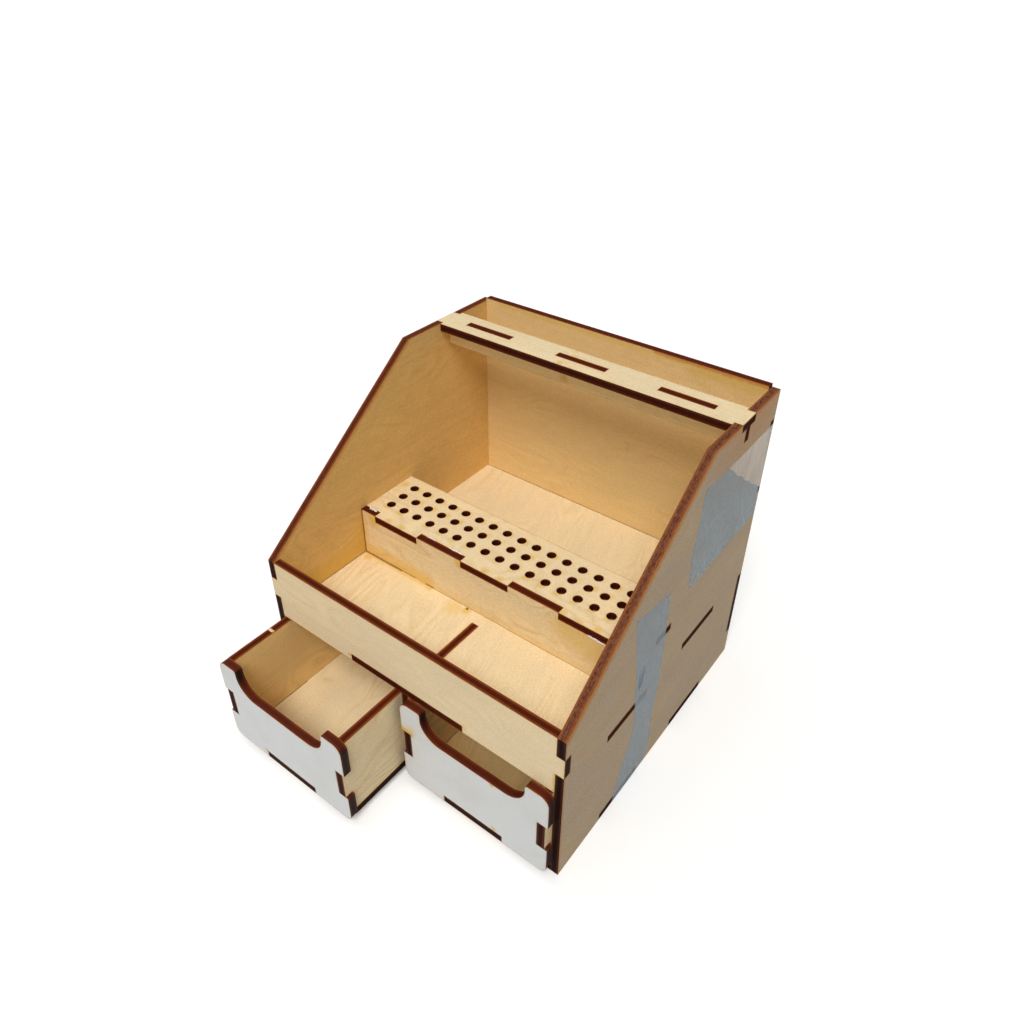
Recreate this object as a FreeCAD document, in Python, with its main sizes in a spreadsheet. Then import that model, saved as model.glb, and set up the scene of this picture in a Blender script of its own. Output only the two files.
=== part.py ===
"""Hobby workstation organizer: a laser-cut plywood cabinet with a tool rack, a drill-bit holder,
an open tray and two sliding drawers.

Millimetres. X runs to the right, Y to the back and Z up. The origin is on the table, in the middle
of the cabinet's front edge. Every piece is one flat panel: an outline and its cut-outs, sketched on
the plane that the panel lies in and padded by the thickness of the plywood.
"""
import FreeCAD, Part
import os
import Sketcher

DIMENSIONS = (
    # alias, millimetres
    ("ply", 3.4),                # thickness of the plywood
    ("body_width", 143.0),
    ("body_depth", 138.5),
    ("body_height", 140.0),      # top edge of the side panels
    ("back_height", 141.4),      # the back panel stands a little above the sides
    ("slope_back", 83.4),        # depth at which the sloped edge meets the top edge
    ("lip_top", 74.8),
    ("lip_tab_low", 56.5),
    ("lip_tab", 9.4),
    ("shelf_top", 49.8),
    ("shelf_tab", 56.0),         # wide tabs at the front and back edge of the shelf
    ("back_tab_low", 14.1),
    ("back_tab", 34.4),
    ("corner_finger", 8.4),      # end fingers of the bit holder
    ("bit_front", 47.2),         # face of the bit holder, from the front of the cabinet
    ("bit_top", 73.3),
    ("bit_depth", 31.8),
    ("bit_side_tab_low", 55.4),
    ("bit_side_tab", 10.4),
    ("hole_diameter", 3.9),
    ("hole_columns", 17),
    ("hole_pitch", 7.5),         # along a row
    ("hole_rows", 3),
    ("hole_row_pitch", 7.4),
    ("hole_row_centre", 65.1),   # middle row, from the front of the cabinet
    ("rack_centre", 110.8),      # middle of the rack, from the front of the cabinet
    ("rack_width", 14.8),
    ("rack_tab", 11.2),
    ("rack_margin", 9.7),        # from the side panel to the first mortise
    ("stiffener_drop", 7.7),     # how far the stiffener hangs below the rack plate
    ("stiffener_end", 6.0),      # height of its end tabs below the rack plate
    ("drawer_box_width", 65.6),
    ("drawer_box_height", 42.1),
    ("drawer_length", 138.1),    # outer face of the front to outer face of the back
    ("drawer_tab_low", 14.2),    # above the underside of the drawer
    ("drawer_tab", 13.3),
    ("drawer_floor_tab", 28.0),
    ("drawer_front_width", 68.0),
    ("drawer_front_height", 43.1),
    ("slide_gap", 0.4),          # under the drawer, and between its back and the back panel
    ("closed_gap", 0.3),         # behind the overlapping front of a closed drawer
    ("cut_width", 47.9),         # finger cut-out in the top edge of a drawer front
    ("cut_depth", 11.9),
    ("cut_radius", 9.0),
    ("ear_inner_radius", 1.2),
    ("ear_outer_radius", 4.0),
    ("foot_radius", 3.5),
    ("left_drawer_open", 28.3),  # how far each drawer stands open at rest
    ("right_drawer_open", 0.4),
)


class Size:
    """A length written as a spreadsheet expression, so that sketches and places follow the sheet."""

    def __init__(self, text):
        self.text = str(text)

    def __str__(self):
        return self.text

    def __add__(self, other):
        return Size(f"({self} + {other})")

    def __radd__(self, other):
        return Size(f"({other} + {self})")

    def __sub__(self, other):
        return Size(f"({self} - {other})")

    def __mul__(self, other):
        return Size(f"({self} * {other})")

    def __truediv__(self, other):
        return Size(f"({self} / {other})")

    def __neg__(self):
        return Size(f"(-1 * {self})")

    def value(self):
        return float(sheet.evalExpression(self.text))


def number(length):
    """The value in millimetres of a Size or of a plain number."""
    return length.value() if isinstance(length, Size) else float(length)


def dimension(alias):
    return Size(f"dims.{alias}")


def make_sheet():
    """The spreadsheet of driving dimensions, one aliased cell for each."""
    new_sheet = doc.addObject("Spreadsheet::Sheet", "dims")
    for row, (alias, value) in enumerate(DIMENSIONS, start=1):
        new_sheet.set(f"A{row}", alias)
        new_sheet.set(f"B{row}", str(value))
        new_sheet.setAlias(f"B{row}", alias)
    doc.recompute()
    return new_sheet


# Outlines -------------------------------------------------------------------------------------

def stepped(axis, level, step, spans):
    """The points of an edge at level that steps by step over each span, in the order of travel."""
    points = []
    for start, end in spans:
        corners = ((start, level), (start, level + step), (end, level + step), (end, level))
        points += [(along, across) if axis == "u" else (across, along) for along, across in corners]
    return points


def reverse(spans):
    """The same spans for an edge that is travelled the other way."""
    return [(end, start) for start, end in reversed(spans)]


def rectangle(left, low, right, high):
    return [(left, low), (right, low), (right, high), (left, high)]


def five_fingers(margin):
    """The six edges of five equal fingers across the cabinet, inside a margin at each end."""
    finger = (width - margin * 2) / 5
    return [margin + finger * step for step in range(6)]


def add_profile(sketch, points):
    """A closed line through the points, with both coordinates of each point bound to the sheet."""
    first = sketch.GeometryCount
    count = len(points)
    corners = [FreeCAD.Vector(number(u), number(v), 0) for u, v in points]
    lines = [Part.LineSegment(corners[i], corners[(i + 1) % count]) for i in range(count)]
    sketch.addGeometry(lines, False)
    joints = [Sketcher.Constraint("Coincident", first + i, 2, first + (i + 1) % count, 1)
              for i in range(count)]
    sketch.addConstraint(joints)
    for i, (u, v) in enumerate(points):
        bind_coordinate(sketch, "DistanceX", first + i, u)
        bind_coordinate(sketch, "DistanceY", first + i, v)


def bind_coordinate(sketch, kind, line, coordinate):
    """Fix one coordinate of a line's start: on the axis where it is zero, else by an expression."""
    if number(coordinate) == 0:
        axis = -2 if kind == "DistanceX" else -1
        sketch.addConstraint(Sketcher.Constraint("PointOnObject", line, 1, axis))
        return
    index = sketch.addConstraint(Sketcher.Constraint(kind, -1, 1, line, 1, number(coordinate)))
    sketch.setExpression(f"Constraints[{index}]", str(coordinate))


# Panels ---------------------------------------------------------------------------------------

def origin_plane(body, role):
    return next(item for item in body.Origin.OriginFeatures if item.Role == role)


def new_sketch(body, role, name):
    sketch = body.newObject("Sketcher::SketchObject", name)
    sketch.AttachmentSupport = [(origin_plane(body, role), "")]
    sketch.MapMode = "FlatFace"
    return sketch


def panel(label, role, place, outline, cutouts=()):
    """A plywood panel in the given origin plane, its lowest corner at place."""
    body = doc.addObject("PartDesign::Body", label)
    body.Label = label
    sketch = new_sketch(body, role, f"{label}_sketch")
    add_profile(sketch, outline)
    for cutout in cutouts:
        add_profile(sketch, cutout)
    pad = body.newObject("PartDesign::Pad", f"{label}_pad")
    pad.Profile = sketch
    pad.setExpression("Length", str(ply))
    # the normal of the XZ plane points forwards, so its pads are turned to run backwards
    pad.Reversed = role == "XZ_Plane"
    sketch.Visibility = False
    for axis, coordinate in zip("xyz", place):
        body.setExpression(f"Placement.Base.{axis}", str(coordinate))
    doc.recompute()
    return body


def round_corners(body, corners, radius):
    """Round the thickness edges that stand at the given corners of an upright XZ panel."""
    base = body.Tip
    places = [(number(u), number(v)) for u, v in corners]
    names = []
    for index, edge in enumerate(base.Shape.Edges, start=1):
        ends = [(vertex.Point.x, vertex.Point.z) for vertex in edge.Vertexes]
        for u, v in places:
            if len(ends) == 2 and all(abs(x - u) < 1e-4 and abs(z - v) < 1e-4 for x, z in ends):
                names.append(f"Edge{index}")
    if len(names) != len(corners):
        raise RuntimeError(f"{body.Label}: {len(names)} of {len(corners)} corners found")
    fillet = body.newObject("PartDesign::Fillet", f"{body.Label}_fillet")
    fillet.Base = (base, names)
    fillet.setExpression("Radius", str(radius))
    body.Tip = fillet
    doc.recompute()


def drill_grid(body, first_x, first_y):
    """Drill one hole through a flat XY panel and repeat it over the rows and columns of the grid."""
    sketch = new_sketch(body, "XY_Plane", "hole_sketch")
    centre = FreeCAD.Vector(number(first_x), number(first_y), 0)
    radius = number(hole_diameter) / 2
    sketch.addGeometry(Part.Circle(centre, FreeCAD.Vector(0, 0, 1), radius), False)
    for kind, coordinate in (("DistanceX", first_x), ("DistanceY", first_y)):
        index = sketch.addConstraint(Sketcher.Constraint(kind, -1, 1, 0, 3, number(coordinate)))
        sketch.setExpression(f"Constraints[{index}]", str(coordinate))
    index = sketch.addConstraint(Sketcher.Constraint("Diameter", 0, 2 * radius))
    sketch.setExpression(f"Constraints[{index}]", str(hole_diameter))
    hole = body.newObject("PartDesign::Pocket", "hole")
    hole.Profile = sketch
    hole.Type = "ThroughAll"
    hole.Midplane = True
    sketch.Visibility = False
    body.Tip = hole
    doc.recompute()
    grid = body.newObject("PartDesign::MultiTransform", "hole_grid")
    grid.Originals = [hole]
    patterns = []
    for name, axis, pitch, alias in (("hole_row", "H_Axis", hole_pitch, "hole_columns"),
                                     ("hole_column", "V_Axis", hole_row_pitch, "hole_rows")):
        pattern = body.newObject("PartDesign::LinearPattern", name)
        pattern.Direction = (sketch, [axis])
        pattern.setExpression("Occurrences", f"dims.{alias}")
        pattern.setExpression("Length", f"{pitch} * (dims.{alias} - 1)")
        patterns.append(pattern)
    grid.Transformations = patterns
    body.Tip = grid
    doc.recompute()


# Cabinet --------------------------------------------------------------------------------------

def make_sides():
    """Two equal side panels: sloped front, notches for tabs on every edge, slots for the shelves."""
    outline = [(0, 0)]
    outline += stepped("u", 0, ply, side_spans)
    outline += [(depth, 0)]
    outline += stepped("v", depth, -ply, back_spans)
    outline += [(depth, height)]
    outline += [(rack_tab_back, height), (rack_tab_back, height - ply)]
    outline += stepped("u", height - ply, -stiffener_end, [(stiffener_back, stiffener_front)])
    outline += [(rack_tab_front, height - ply), (rack_tab_front, height)]
    outline += [(slope_back, height), (0, lip_top)]
    outline += stepped("v", 0, ply, reverse(lip_tab_spans))
    shelf_slots = [rectangle(front, shelf_low, back, shelf_top) for front, back in side_spans]
    bit_slots = [rectangle(bit_tab_front, bit_top - ply, bit_tab_back, bit_top),
                 rectangle(bit_front, bit_side_low, bit_front + ply, bit_side_high)]
    for label, left in (("left_side", -width / 2), ("right_side", width / 2 - ply)):
        panel(label, "YZ_Plane", (left, 0, 0), outline, shelf_slots + bit_slots)


def make_front_lip():
    """The board across the front, held by a tab at each end and notched for the shelf's tab."""
    outline = [(ply, 0)]
    outline += stepped("u", 0, ply, [shelf_tab_span])
    outline += [(width - ply, 0)]
    tab = [(lip_tab_low - shelf_low, lip_tab_high - shelf_low)]
    outline += stepped("v", width - ply, ply, tab)
    outline += [(width - ply, lip_top - shelf_low), (ply, lip_top - shelf_low)]
    outline += stepped("v", ply, -ply, reverse(tab))
    panel("front_lip", "XZ_Plane", (-width / 2, 0, shelf_low), outline)


def flat_outline(front, front_tab=None, back_tab=None):
    """The outline of a horizontal panel between the sides, with two tabs into each of them."""
    outline = [(ply, front)]
    if front_tab:
        outline += stepped("u", front, -ply, [front_tab])
    outline += [(width - ply, front)]
    outline += stepped("v", width - ply, ply, side_spans)
    outline += [(width - ply, depth - ply)]
    if back_tab:
        outline += stepped("u", depth - ply, ply, reverse([back_tab]))
    outline += [(ply, depth - ply)]
    outline += stepped("v", ply, -ply, reverse(side_spans))
    return outline


def make_shelf():
    """Tray floor, rear floor and ceiling of the drawer bays in one panel."""
    middle = width / 2
    divider_slots = [rectangle(middle - ply / 2, front, middle + ply / 2, back)
                     for front, back in divider_spans]
    bit_slots = [rectangle(left, bit_front, right, bit_front + ply) for left, right in tooth_spans]
    panel("shelf", "XY_Plane", (-width / 2, 0, shelf_low),
          flat_outline(ply, shelf_tab_span, shelf_tab_span), divider_slots + bit_slots)


def make_bottom_panel():
    middle = width / 2
    divider_slots = [rectangle(middle - ply / 2, front, middle + ply / 2, back)
                     for front, back in divider_spans]
    panel("bottom_panel", "XY_Plane", (-width / 2, 0, 0),
          flat_outline(0, back_tab=shelf_tab_span), divider_slots)


def make_back_panel():
    """The rear wall, between the sides, with slots for the rear tabs of the shelf and the bottom."""
    outline = [(ply, 0)]
    outline += stepped("u", 0, ply, [shelf_tab_span])
    outline += [(width - ply, 0)]
    outline += stepped("v", width - ply, ply, back_spans)
    outline += [(width - ply, back_height), (ply, back_height)]
    outline += stepped("v", ply, -ply, reverse(back_spans))
    shelf_slot = rectangle(shelf_tab_span[0], shelf_low, shelf_tab_span[1], shelf_top)
    panel("back_panel", "XZ_Plane", (-width / 2, depth - ply, 0), outline, [shelf_slot])


def make_drawer_divider():
    """The upright panel between the drawer bays, with two tabs up and two tabs down."""
    outline = [(0, ply)]
    outline += stepped("u", ply, -ply, divider_spans)
    outline += [(depth - ply, ply), (depth - ply, shelf_low)]
    outline += stepped("u", shelf_low, ply, reverse(divider_spans))
    outline += [(0, shelf_low)]
    panel("drawer_divider", "YZ_Plane", (-ply / 2, 0, 0), outline)


def make_bit_holder():
    """The drilled plate, finger-jointed to the upright strip in front of it."""
    bottom = shelf_top - shelf_low
    top = bit_top - shelf_low
    side_tab = [(bit_side_low - shelf_low, bit_side_high - shelf_low)]
    upright = [(ply, bottom)]
    upright += stepped("u", bottom, -ply, tooth_spans)
    upright += [(width - ply, bottom)]
    upright += stepped("v", width - ply, ply, side_tab)
    upright += [(width - ply, top)]
    upright += stepped("u", top, -ply, reverse(plate_spans))
    upright += [(ply, top)]
    upright += stepped("v", ply, -ply, reverse(side_tab))
    panel("bit_holder_front", "XZ_Plane", (-width / 2, bit_front, shelf_low), upright)

    plate_tab = [(bit_tab_front - bit_front, bit_tab_back - bit_front)]
    plate = [(ply, ply)]
    plate += stepped("u", ply, -ply, plate_spans)
    plate += [(width - ply, ply)]
    plate += stepped("v", width - ply, ply, plate_tab)
    plate += [(width - ply, bit_depth), (ply, bit_depth)]
    plate += stepped("v", ply, -ply, reverse(plate_tab))
    top_plate = panel("bit_holder_top", "XY_Plane", (-width / 2, bit_front, bit_top - ply), plate)
    first_x = width / 2 - hole_pitch * ((hole_columns - 1) / 2)
    first_y = hole_row_centre - bit_front - hole_row_pitch * ((hole_rows - 1) / 2)
    drill_grid(top_plate, first_x, first_y)


def make_rack():
    """The bar that the tools straddle, and the stiffener whose tabs fill its three mortises."""
    front = rack_centre - rack_width / 2
    end_tab = [(rack_tab_front - front, rack_tab_back - front)]
    plate = [(ply, 0), (width - ply, 0)]
    plate += stepped("v", width - ply, ply, end_tab)
    plate += [(width - ply, rack_width), (ply, rack_width)]
    plate += stepped("v", ply, -ply, reverse(end_tab))
    mortises = [rectangle(left, stiffener_front - front, right, stiffener_back - front)
                for left, right in mortise_spans]
    panel("rack_plate", "XY_Plane", (-width / 2, front, height - ply), plate, mortises)

    shoulder = stiffener_drop - stiffener_end
    strip = [(ply, 0), (width - ply, 0)]
    strip += [(width - ply, shoulder), (width, shoulder), (width, stiffener_drop)]
    strip += stepped("u", stiffener_drop, ply, reverse(mortise_spans))
    strip += [(0, stiffener_drop), (0, shoulder), (ply, shoulder)]
    low = height - ply - stiffener_drop
    panel("rack_stiffener", "XZ_Plane", (-width / 2, stiffener_front, low), strip)


# Drawers --------------------------------------------------------------------------------------

def drawer_front_outline():
    """A front with a finger cut-out, notches for both sides and one for the floor."""
    rim = drawer_front_height
    cut_left = front_width / 2 - cut_width / 2
    cut_right = front_width / 2 + cut_width / 2
    cut_low = rim - cut_depth
    outline = [(0, 0)]
    outline += stepped("u", 0, ply, [(front_width / 2 - floor_tab / 2, front_width / 2 + floor_tab / 2)])
    outline += [(front_width, 0)]
    outline += stepped("v", front_width, -(ply + front_overlap), drawer_tab_spans)
    outline += [(front_width, rim), (cut_right, rim), (cut_right, cut_low)]
    outline += [(cut_left, cut_low), (cut_left, rim), (0, rim)]
    outline += stepped("v", 0, ply + front_overlap, reverse(drawer_tab_spans))
    roundings = (
        (cut_radius, [(cut_left, cut_low), (cut_right, cut_low)]),
        (ear_inner_radius, [(cut_left, rim), (cut_right, rim)]),
        (ear_outer_radius, [(0, rim), (front_width, rim)]),
        (foot_radius, [(0, 0), (front_width, 0)]),
    )
    return outline, roundings


def make_drawer(name, centre_x, opened):
    """One drawer: overlapping front, two sides, a back, and a floor under all of its walls."""
    left = centre_x - box_width / 2
    front = -(ply + closed_gap + opened)
    low = ply + slide_gap

    outline, roundings = drawer_front_outline()
    face = panel(f"{name}_front", "XZ_Plane", (left - front_overlap, front, low), outline)
    for radius, corners in roundings:
        round_corners(face, corners, radius)

    side = [(ply, ply), (drawer_length - ply, ply)]
    side += stepped("v", drawer_length - ply, ply, drawer_tab_spans)
    side += [(drawer_length - ply, box_height), (ply, box_height)]
    side += stepped("v", ply, -ply, reverse(drawer_tab_spans))
    panel(f"{name}_left_side", "YZ_Plane", (left, front, low), side)
    panel(f"{name}_right_side", "YZ_Plane", (left + box_width - ply, front, low), side)

    floor_span = (box_width / 2 - floor_tab / 2, box_width / 2 + floor_tab / 2)
    back = [(0, 0)]
    back += stepped("u", 0, ply, [floor_span])
    back += [(box_width, 0)]
    back += stepped("v", box_width, -ply, drawer_tab_spans)
    back += [(box_width, box_height), (0, box_height)]
    back += stepped("v", 0, ply, reverse(drawer_tab_spans))
    panel(f"{name}_back", "XZ_Plane", (left, front + drawer_length - ply, low), back)

    floor = [(0, ply)]
    floor += stepped("u", ply, -ply, [floor_span])
    floor += [(box_width, ply), (box_width, drawer_length - ply)]
    floor += stepped("u", drawer_length - ply, ply, reverse([floor_span]))
    floor += [(0, drawer_length - ply)]
    panel(f"{name}_bottom", "XY_Plane", (left, front, low), floor)


def export_parts():
    """Check every object, then write each panel to a file named after its label."""
    doc.recompute()
    os.makedirs("parts", exist_ok=True)
    for item in doc.Objects:
        faults = {"Invalid", "Error"} & set(item.State)
        if faults:
            raise RuntimeError(f"{item.Label}: {faults}")
    bodies = [item for item in doc.Objects if item.TypeId == "PartDesign::Body"]
    for body in bodies:
        if body.Shape.isNull() or not body.Shape.isValid() or len(body.Shape.Solids) != 1:
            raise RuntimeError(f"{body.Label}: bad shape")
        body.Shape.exportStep(f"parts/{body.Label}.step")


doc = FreeCAD.newDocument("organizer")
sheet = make_sheet()

ply = dimension("ply")
width = dimension("body_width")
depth = dimension("body_depth")
height = dimension("body_height")
back_height = dimension("back_height")
slope_back = dimension("slope_back")
lip_top = dimension("lip_top")
lip_tab_low = dimension("lip_tab_low")
lip_tab_high = lip_tab_low + dimension("lip_tab")
shelf_top = dimension("shelf_top")
bit_front = dimension("bit_front")
bit_top = dimension("bit_top")
bit_depth = dimension("bit_depth")
bit_side_low = dimension("bit_side_tab_low")
hole_diameter = dimension("hole_diameter")
hole_columns = dimension("hole_columns")
hole_pitch = dimension("hole_pitch")
hole_rows = dimension("hole_rows")
hole_row_pitch = dimension("hole_row_pitch")
hole_row_centre = dimension("hole_row_centre")
rack_centre = dimension("rack_centre")
rack_width = dimension("rack_width")
stiffener_drop = dimension("stiffener_drop")
stiffener_end = dimension("stiffener_end")
box_width = dimension("drawer_box_width")
box_height = dimension("drawer_box_height")
drawer_length = dimension("drawer_length")
drawer_tab_low = dimension("drawer_tab_low")
floor_tab = dimension("drawer_floor_tab")
front_width = dimension("drawer_front_width")
drawer_front_height = dimension("drawer_front_height")
slide_gap = dimension("slide_gap")
closed_gap = dimension("closed_gap")
cut_width = dimension("cut_width")
cut_depth = dimension("cut_depth")
cut_radius = dimension("cut_radius")
ear_inner_radius = dimension("ear_inner_radius")
ear_outer_radius = dimension("ear_outer_radius")
foot_radius = dimension("foot_radius")

# places worked out from the driving dimensions
shelf_low = shelf_top - ply
bit_side_high = bit_side_low + dimension("bit_side_tab")
bit_tab_front = bit_front + bit_depth / 3
bit_tab_back = bit_front + bit_depth * 2 / 3
rack_tab_front = rack_centre - dimension("rack_tab") / 2
rack_tab_back = rack_centre + dimension("rack_tab") / 2
stiffener_front = rack_centre - ply / 2
stiffener_back = rack_centre + ply / 2
front_overlap = (front_width - box_width) / 2
bay_centre = (width / 2 - ply + ply / 2) / 2

# spans along an edge that hold a tab or a slot, each a start and an end
fifth = depth / 5
side_spans = [(fifth, fifth * 2), (fifth * 3, fifth * 4)]
divider_spans = [(fifth / 2, fifth * 3 / 2), (fifth * 5 / 2, fifth * 7 / 2)]
back_tab_low = dimension("back_tab_low")
back_tab_high = back_tab_low + dimension("back_tab")
back_spans = [(back_tab_low, back_tab_high), (back_height - back_tab_high, back_height - back_tab_low)]
lip_tab_spans = [(lip_tab_low, lip_tab_high)]
shelf_tab_span = (width / 2 - dimension("shelf_tab") / 2, width / 2 + dimension("shelf_tab") / 2)
drawer_tab_spans = [(drawer_tab_low, drawer_tab_low + dimension("drawer_tab"))]
finger_edges = five_fingers(ply + dimension("corner_finger"))
plate_spans = list(zip(finger_edges[0::2], finger_edges[1::2]))
tooth_spans = list(zip(finger_edges[1:5:2], finger_edges[2:5:2]))
mortise_edges = five_fingers(ply + dimension("rack_margin"))
mortise_spans = list(zip(mortise_edges[0::2], mortise_edges[1::2]))

make_sides()
make_front_lip()
make_shelf()
make_bottom_panel()
make_back_panel()
make_drawer_divider()
make_bit_holder()
make_rack()
make_drawer("left_drawer", -bay_centre, dimension("left_drawer_open"))
make_drawer("right_drawer", bay_centre, dimension("right_drawer_open"))
export_parts()
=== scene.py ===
"""Looks of the hobby workstation organizer: laser-cut birch plywood, white-faced drawer fronts,
strips of clear film on the right side, dried glue and the nibs that the cutting left.

Lengths in the tables below are millimetres in the frame of the packed model: X to the right, Y to
the back and Z up, with the origin on the table in the middle of the cabinet's front edge.
"""
import math
import random

import bmesh
import bpy
from bpy.props import FloatProperty, FloatVectorProperty, IntProperty, PointerProperty
from mathutils import Matrix, Vector


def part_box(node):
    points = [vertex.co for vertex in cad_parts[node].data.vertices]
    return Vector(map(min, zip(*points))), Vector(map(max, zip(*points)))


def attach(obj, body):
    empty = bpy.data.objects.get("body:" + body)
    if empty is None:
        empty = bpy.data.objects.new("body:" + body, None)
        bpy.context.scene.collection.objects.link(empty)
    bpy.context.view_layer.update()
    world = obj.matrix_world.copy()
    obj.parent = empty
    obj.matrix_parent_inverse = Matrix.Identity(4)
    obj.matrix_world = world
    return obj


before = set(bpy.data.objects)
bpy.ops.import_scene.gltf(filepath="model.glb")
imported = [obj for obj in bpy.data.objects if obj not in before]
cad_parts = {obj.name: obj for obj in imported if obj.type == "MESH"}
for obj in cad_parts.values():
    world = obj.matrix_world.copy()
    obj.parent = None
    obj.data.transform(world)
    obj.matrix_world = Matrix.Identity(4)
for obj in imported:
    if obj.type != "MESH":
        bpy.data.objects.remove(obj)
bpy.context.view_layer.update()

bl_info = {
    "name": "Workstation organizer finish",
    "version": (1, 0, 0),
    "blender": (4, 5, 0),
    "location": "3D View > Sidebar > Organizer",
    "description": "Plywood, white facing, film and glue for a laser-cut workstation organizer",
    "category": "Object",
}

MM = 0.001
AXES = "xyz"


def shade(red, green, blue):
    """A screen colour of 0 to 255 as the linear values that Blender keeps."""
    linear = []
    for part in (red / 255, green / 255, blue / 255):
        linear.append(part / 12.92 if part <= 0.04045 else ((part + 0.055) / 1.055) ** 2.4)
    return tuple(linear)


# --- Sizes and colours that can be changed ---

def colour_property(name, default, description):
    return FloatVectorProperty(name=name, description=description, subtype="COLOR", size=3,
                               min=0.0, max=1.0, default=default)


def length_property(name, millimetres, description):
    return FloatProperty(name=name, description=description, subtype="DISTANCE", unit="LENGTH",
                         min=0.0, precision=5, default=millimetres * MM)


def share_property(name, default, description, highest=1.0):
    return FloatProperty(name=name, description=description, subtype="FACTOR", min=0.0, max=highest,
                         default=default)


def lamp_property(name, strength, description):
    return FloatProperty(name=name, description=description, subtype="POWER", min=0.0,
                         default=strength)


class PlywoodSettings(bpy.types.PropertyGroup):
    """Birch faces and laser-burnt edges."""
    cream: colour_property("Cream birch", shade(240, 218, 177), "Faces of pale veneer")
    straw: colour_property("Straw birch", shade(241, 208, 148), "Faces of yellower veneer")
    honey: colour_property("Honey birch", shade(230, 190, 122), "Faces of warmer veneer")
    # partly painted shade: a darker, greyer tone for the outer faces of the side panels than for
    # their inner faces
    shaded_stone: colour_property("Shaded stone birch", shade(204, 182, 154), "Faces of greyer veneer")
    # partly painted bounce light: a warmer, brighter tone for the drawers' inner left sides and the
    # right drawer's floor
    amber: colour_property("Amber birch and bounce light", shade(248, 210, 145), "Faces of golden veneer")
    pale: colour_property("Pale birch", shade(250, 227, 186), "Faces of nearly white veneer")
    # painted light: a brighter yellow tone that lifts the rack stiffener out of the rack plate's
    # shade
    butter: colour_property("Butter birch with painted light", shade(252, 224, 166), "Faces of bright yellow veneer")
    figure: colour_property("Figure", shade(202, 164, 100), "Growth lines in the veneer")
    veneer_char: colour_property("Burnt veneer", shade(124, 60, 28), "Outer plies on a cut edge")
    core_char: colour_property("Burnt core", shade(79, 30, 15), "Middle ply on a cut edge")
    even_char: colour_property("Even char", shade(100, 41, 21), "Cut edge with no clear plies")
    # painted shade: darker, greyer plies for cut edges that do not face up
    veneer_shade: colour_property("Shaded veneer", shade(62, 38, 32), "Outer plies on an upright cut")
    core_shade_and_grime: colour_property("Shaded core and grime", shade(32, 17, 13), "Middle ply on an upright cut")
    # burnt residue and painted sheen: lighter, greyer streaks on cut edges that face up
    ash: colour_property("Ash", shade(156, 109, 79), "Streaks of ash on upward cut edges")
    scorch: colour_property("Scorch", shade(204, 130, 50), "Brown stain on a face beside a cut")
    char_line: colour_property("Char line", shade(112, 62, 26), "Soot that gathered in a joint")
    smoke: colour_property("Smoke", shade(226, 183, 66), "Yellow stain that the laser smoke left")
    figure_strength: share_property("Figure strength", 0.6, "How strong the growth lines are")
    grime_strength: share_property("Grime strength", 0.18, "How dark the grime on outer faces is")
    streak_strength: share_property("Streak strength", 0.085, "Contrast of the fine grain")
    scorch_width: length_property("Scorch width", 0.75, "Width of the brown line beside a cut")
    smoke_width: length_property("Smoke width", 2.6, "Width of the faint warm band beside a cut")
    roughness: share_property("Roughness", 0.62, "Roughness of the bare veneer")


class FrontSettings(bpy.types.PropertyGroup):
    """White face of the drawer fronts."""
    white: colour_property("White face", shade(231, 233, 232), "Thin white facing")
    smudge: colour_property("Smudge", shade(218, 216, 209), "Faint dirt on the facing")
    roughness: share_property("Roughness", 0.38, "Roughness of the facing")


class FilmSettings(bpy.types.PropertyGroup):
    """Strips of clear film on the outside of the right side panel."""
    # partly painted reflection: the bluish haze colour also stands for the light the film reflects
    cool: colour_property("Cool film", shade(152, 180, 196), "Haze of the two large strips")
    cool_haze: share_property("Cool haze", 0.34, "How much each face of a large strip hides")
    # partly painted reflection: the bright haze colour also stands for the light the film reflects
    dull: colour_property("Dull film", shade(235, 219, 197), "Haze of the dull upper strip")
    dull_haze: share_property("Dull haze", 0.5, "How much each face of the dull strip hides")
    crease: colour_property("Crease", shade(84, 104, 124), "Line where the film is creased")
    thickness: length_property("Thickness", 0.06, "Thickness of the film")
    wrinkle: length_property("Wrinkle", 0.05, "How far the film stands off the wood")


class GlueSettings(bpy.types.PropertyGroup):
    """Dried white glue that was squeezed out of the joints."""
    white: colour_property("Dried glue", shade(240, 238, 230), "Colour of the dried glue")
    height: length_property("Bead height", 0.32, "Height of a bead above the wood")
    seed: IntProperty(name="Seed", description="Shape of the beads", default=7, min=0)


class NibSettings(bpy.types.PropertyGroup):
    """Unburnt nibs where a panel was held in its sheet."""
    height: length_property("Nib height", 0.3, "How far a nib stands above the cut edge")
    seed: IntProperty(name="Seed", description="Shape of the nibs", default=3, min=0)


class StageSettings(bpy.types.PropertyGroup):
    """Floor, lamps and camera."""
    floor: colour_property("Floor", shade(254, 254, 254), "Pale floor")
    floor_bounce: colour_property("Floor bounce", shade(190, 190, 192), "Floor as it lights others")
    floor_glow: share_property("Floor glow", 0.16, "Light that the floor adds where it is seen")
    floor_radius: FloatProperty(name="Floor radius", description="Radius of the floor disc",
                                subtype="DISTANCE", unit="LENGTH", default=9.0, min=1.0)
    ambient: share_property("Ambient light", 0.30, "Strength of the light from all around", 2.0)
    key: lamp_property("Key lamp", 0.45, "Strength of the soft lamp overhead")
    fill: lamp_property("Fill lamp", 1.85, "Strength of the soft lamp in front")
    lens: FloatProperty(name="Lens", description="Focal length on a 36 mm wide sensor",
                        unit="CAMERA", default=29.0058, min=1.0)


# --- Making node trees ---

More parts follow.
